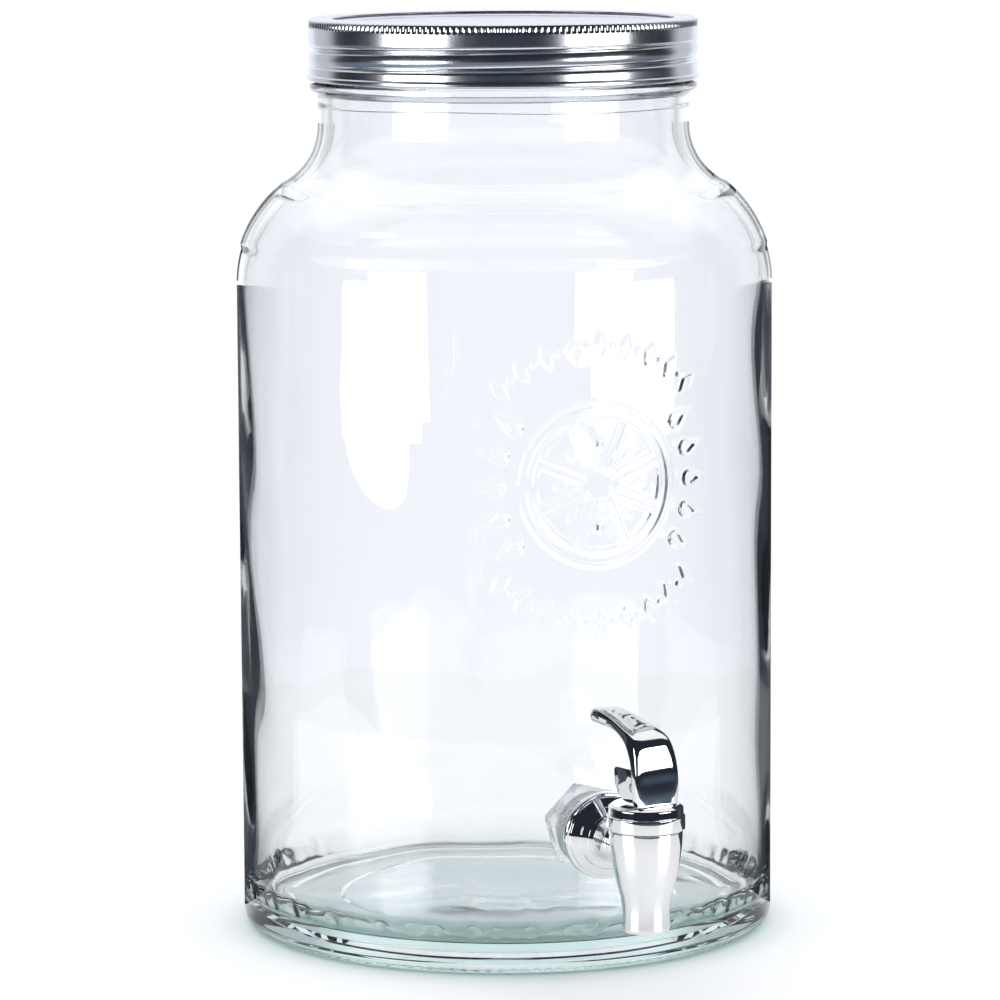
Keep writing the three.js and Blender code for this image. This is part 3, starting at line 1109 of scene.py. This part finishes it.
def make_camera():
    data = bpy.data.cameras.new("camera")
    camera = bpy.data.objects.new("camera", data)
    bpy.context.scene.collection.objects.link(camera)
    data.lens = CAMERA_LENS
    data.sensor_width = 36
    data.shift_x = CAMERA_SHIFT
    data.clip_start = 0.05
    data.clip_end = 50
    camera.matrix_world = (
        Matrix.Rotation(CAMERA_HEADING, 4, "Z")
        @ Matrix.Translation((0, -CAMERA_DISTANCE, CAMERA_HEIGHT + TABLE_Z))
        @ Matrix.Rotation(math.pi / 2 - CAMERA_PITCH, 4, "X")
        @ Matrix.Rotation(CAMERA_ROLL, 4, "Z")
    )
    bpy.context.scene.camera = camera
    return camera


def make_turntable(camera):
    """An empty at the jar's axis that keeps to the camera's heading, to carry the lights."""
    turntable = bpy.data.objects.new("turntable", None)
    bpy.context.scene.collection.objects.link(turntable)
    follow = turntable.constraints.new("COPY_ROTATION")
    follow.target = camera
    follow.use_x = False
    follow.use_y = False
    return turntable


def make_window(turntable, name, side):
    """A soft box one metre away. side: degrees from the camera's own direction."""
    low, high = WINDOW_HEIGHTS
    light = bpy.data.lights.new(name, "AREA")
    light.shape = "RECTANGLE"
    light.size = WINDOW_WIDTH
    light.size_y = high - low
    light.energy = WINDOW_RADIANCE * math.pi * WINDOW_WIDTH * (high - low)
    light.color = (0.97, 0.985, 1.0)
    window = bpy.data.objects.new(name, light)
    bpy.context.scene.collection.objects.link(window)
    window.parent = turntable
    window.matrix_local = (
        Matrix.Rotation(math.radians(side), 4, "Z")
        @ Matrix.Translation((0, -1.0, (low + high) / 2))
        @ Matrix.Rotation(-math.pi / 2, 4, "X")
        @ Matrix.Rotation(math.pi, 4, "Y")
    )
    window.visible_camera = False
    return window


def make_overhead():
    """A wide soft light above that only brightens matt surfaces."""
    light = bpy.data.lights.new("overhead", "SUN")
    light.angle = math.radians(120)
    light.energy = 2.25
    overhead = bpy.data.objects.new("overhead", light)
    bpy.context.scene.collection.objects.link(overhead)
    overhead.location = (0, 0, 2)
    overhead.visible_camera = False
    overhead.visible_glossy = False
    overhead.visible_transmission = False


def make_card(turntable, name, side, near, far, shade):
    """A card beside the jar, between two lines of (r, z) millimetres above the table. The
    glass mirrors it only at its edge, which draws the outline that clear glass has."""
    count = len(near)
    points = [(side * r * MM, 0.006, z * MM + TABLE_Z) for r, z in near + far]
    faces = [[i, i + 1, count + i + 1, count + i] for i in range(count - 1)]
    mesh = bpy.data.meshes.new(name)
    mesh.from_pydata(points, [], faces)
    card = bpy.data.objects.new(name, mesh)
    bpy.context.scene.collection.objects.link(card)
    card.parent = turntable
    look = Shader(name)
    darker = tuple(0.7 * value for value in shade)
    look.set(Base_Color=look.tint(look.noise(40, 3), darker, shade), Roughness=0.8)
    mesh.materials.append(look.material)
    card.visible_camera = False
    card.visible_diffuse = False
    card.visible_shadow = False


def make_cards(turntable):
    """A wide black card and a narrow grey one on each side."""
    wall = [(BODY_R + 1.5, 2.5), (BODY_R + 1.5, SHOULDER_Z - 1.5)]
    room = [(300, 2.5), (300, SHOULDER_Z - 1.5)]
    near, far = shoulder_line(1), shoulder_line(4.5)
    for name, side in (("left", -1), ("right", 1)):
        make_card(turntable, name + "_flag", side, wall, room, (0.03, 0.035, 0.05))
        make_card(turntable, name + "_edge", side, near, far, (0.1, 0.13, 0.13))


def make_floor():
    """A round pale floor with a slight gloss."""
    floor = revolved("floor", [(0, -0.25), (480, -0.25), (480, -0.05), (0, -0.05)], 128)
    look = Shader("floor")
    # Only mirrored views of the floor show its gloss.
    gloss = look.node("ShaderNodeLightPath").outputs["Is Glossy Ray"]
    look.set(
        Base_Color=look.tint(look.noise(2, 3), (0.90, 0.90, 0.905), (0.92, 0.92, 0.92)),
        Roughness=look.spread(look.noise(30, 2), 0.28, 0.34),
        Specular_IOR_Level=gloss,
    )
    floor.data.materials.append(look.material)


def make_world():
    """A white backdrop behind the jar, grey at its sides, and a dark studio in front.
    It keeps to the camera's heading, so every view is lit alike."""
    world = bpy.data.worlds.new("studio")
    bpy.context.scene.world = world
    world.use_nodes = True
    tree = world.node_tree
    tree.nodes.clear()

    def link(value, socket):
        if isinstance(value, bpy.types.NodeSocket):
            tree.links.new(value, socket)
        else:
            socket.default_value = value

    def vector_math(operation, *values):
        made = tree.nodes.new("ShaderNodeVectorMath")
        made.operation = operation
        for socket, value in zip(made.inputs, values):
            link(value, socket)
        return made.outputs["Value" if operation == "DOT_PRODUCT" else "Vector"]

    def mapped(value, low, high, out_low=0.0, out_high=1.0):
        made = tree.nodes.new("ShaderNodeMapRange")
        made.interpolation_type = "SMOOTHSTEP"
        numbers = (value, low, high, out_low, out_high)
        for socket, number in zip(made.inputs, numbers):
            link(number, socket)
        return made.outputs["Result"]

    def layer(under, over, mask):
        made = tree.nodes.new("ShaderNodeMix")
        made.data_type = "RGBA"
        link(mask, made.inputs["Factor"])
        for socket, value in ((made.inputs[6], under), (made.inputs[7], over)):
            link((*value, 1) if isinstance(value, tuple) else value, socket)
        return made.outputs[2]

    direction = tree.nodes.new("ShaderNodeTexCoord").outputs["Generated"]
    level = vector_math("NORMALIZE", vector_math("MULTIPLY", direction, (1, 1, 0)))
    turn = tree.nodes.new("ShaderNodeVectorTransform")
    turn.vector_type = "VECTOR"
    turn.convert_from = "CAMERA"
    turn.convert_to = "WORLD"
    turn.inputs[0].default_value = (0, 0, 1)
    ahead = vector_math("NORMALIZE", vector_math("MULTIPLY", turn.outputs[0], (1, 1, 0)))
    behind = vector_math("DOT_PRODUCT", level, ahead)  # 1 straight behind the jar, -1 in front
    height = vector_math("DOT_PRODUCT", direction, (0, 0, 1))

    dark = (0.018, 0.022, 0.032)
    dim = layer((0.13, 0.17, 0.23), dark, mapped(height, -0.2, -0.09))
    sides = layer(dim, (0.62, 0.63, 0.66), mapped(behind, 0.42, 0.6))
    backdrop = layer(sides, (1.07, 1.09, 1.13), mapped(behind, 0.8, 0.92))
    ceiling = layer(dark, (1.0, 1.0, 1.02), mapped(behind, 0.2, 0.45))
    room = layer(backdrop, ceiling, mapped(height, 0.5, 0.62))
    rays = tree.nodes.new("ShaderNodeLightPath")
    seen = layer(room, (1.0, 1.0, 1.0), rays.outputs["Is Camera Ray"])
    background = tree.nodes.new("ShaderNodeBackground")
    link(seen, background.inputs["Color"])
    output = tree.nodes.new("ShaderNodeOutputWorld")
    link(background.outputs[0], output.inputs["Surface"])


camera = make_camera()
turntable = make_turntable(camera)
make_window(turntable, "left_window", -52)
make_window(turntable, "right_window", 56)
make_overhead()
make_cards(turntable)
make_floor()
make_world()

scene = bpy.context.scene
scene.view_settings.view_transform = "Standard"
scene.cycles.max_bounces = 16
scene.cycles.transmission_bounces = 14
scene.cycles.transparent_max_bounces = 16
scene.cycles.glossy_bounces = 8
